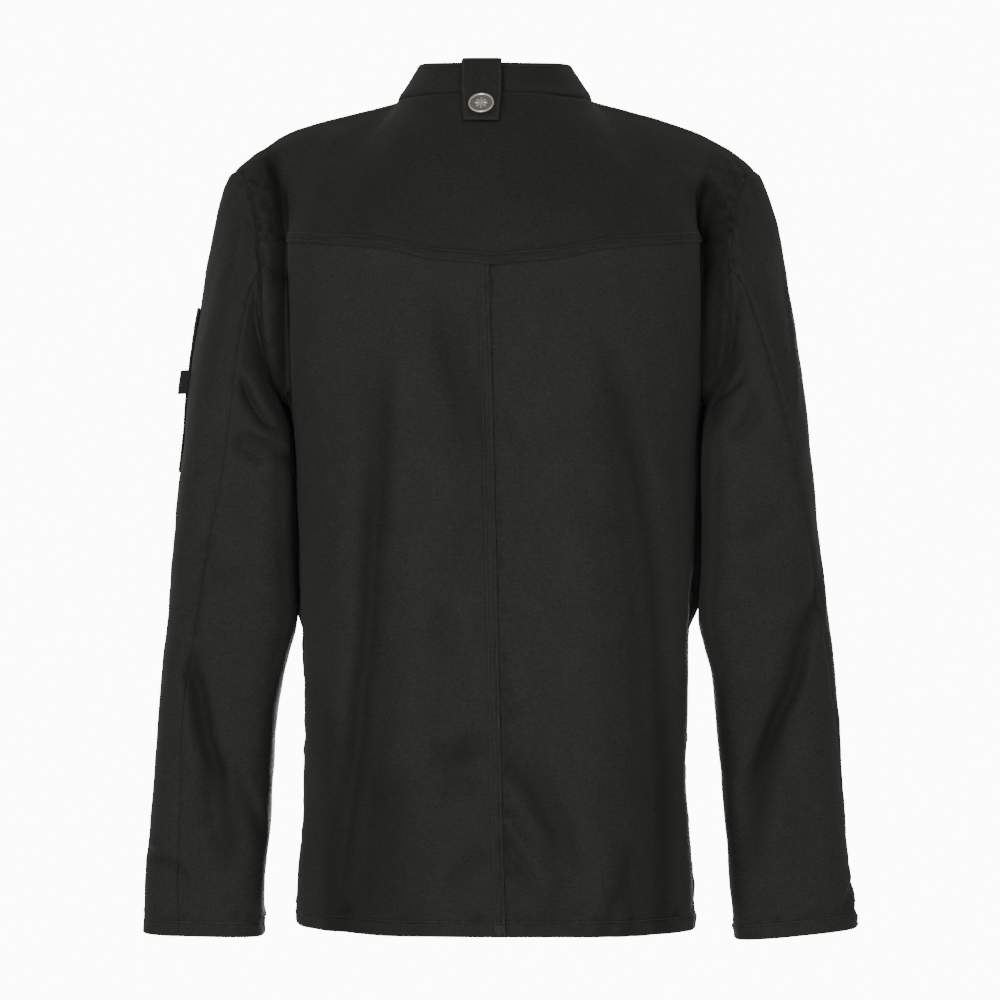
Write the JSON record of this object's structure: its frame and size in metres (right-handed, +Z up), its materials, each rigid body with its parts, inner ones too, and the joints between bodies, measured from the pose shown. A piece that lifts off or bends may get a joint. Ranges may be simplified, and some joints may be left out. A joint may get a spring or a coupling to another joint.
{
  "type": "chef jacket",
  "caption": "Worn long-sleeved black chef jacket, hollow, with a band collar, a buttoned neck tab, a back yoke, a back vent and a sleeve pocket.",
  "frame": {"origin": "middle of the wearer's neck, level with the collar seam at the back", "axes": "+Z up, the wearer faces -Y and their left arm is at +X, so the back of the jacket is at +Y"},
  "size_m": [0.6306, 0.2644, 0.7699],
  "materials": {
    "black_twill": "matt woven twill, slightly washed",
    "label_ribbon": "smooth woven ribbon",
    "metal_button": "antique silver, brushed and darkened in its hollows"
  },
  "bodies": {
    "root": {"back_panel_left": "black_twill", "back_panel_right": "black_twill", "back_yoke": "black_twill", "front_left": "black_twill", "front_right": "black_twill", "sleeve_left_outer": "black_twill", "sleeve_left_under": "black_twill", "sleeve_right_outer": "black_twill", "sleeve_right_under": "black_twill", "collar_stand": "black_twill", "neck_tab": "black_twill", "sleeve_pocket": "black_twill", "sleeve_label": "label_ribbon", "neck_tab_button": "metal_button", "front_button_1": "metal_button", "front_button_2": "metal_button", "front_button_3": "metal_button", "front_button_4": "metal_button", "front_button_5": "metal_button", "front_button_6": "metal_button", "front_button_7": "metal_button"}
  },
  "joints": []
}
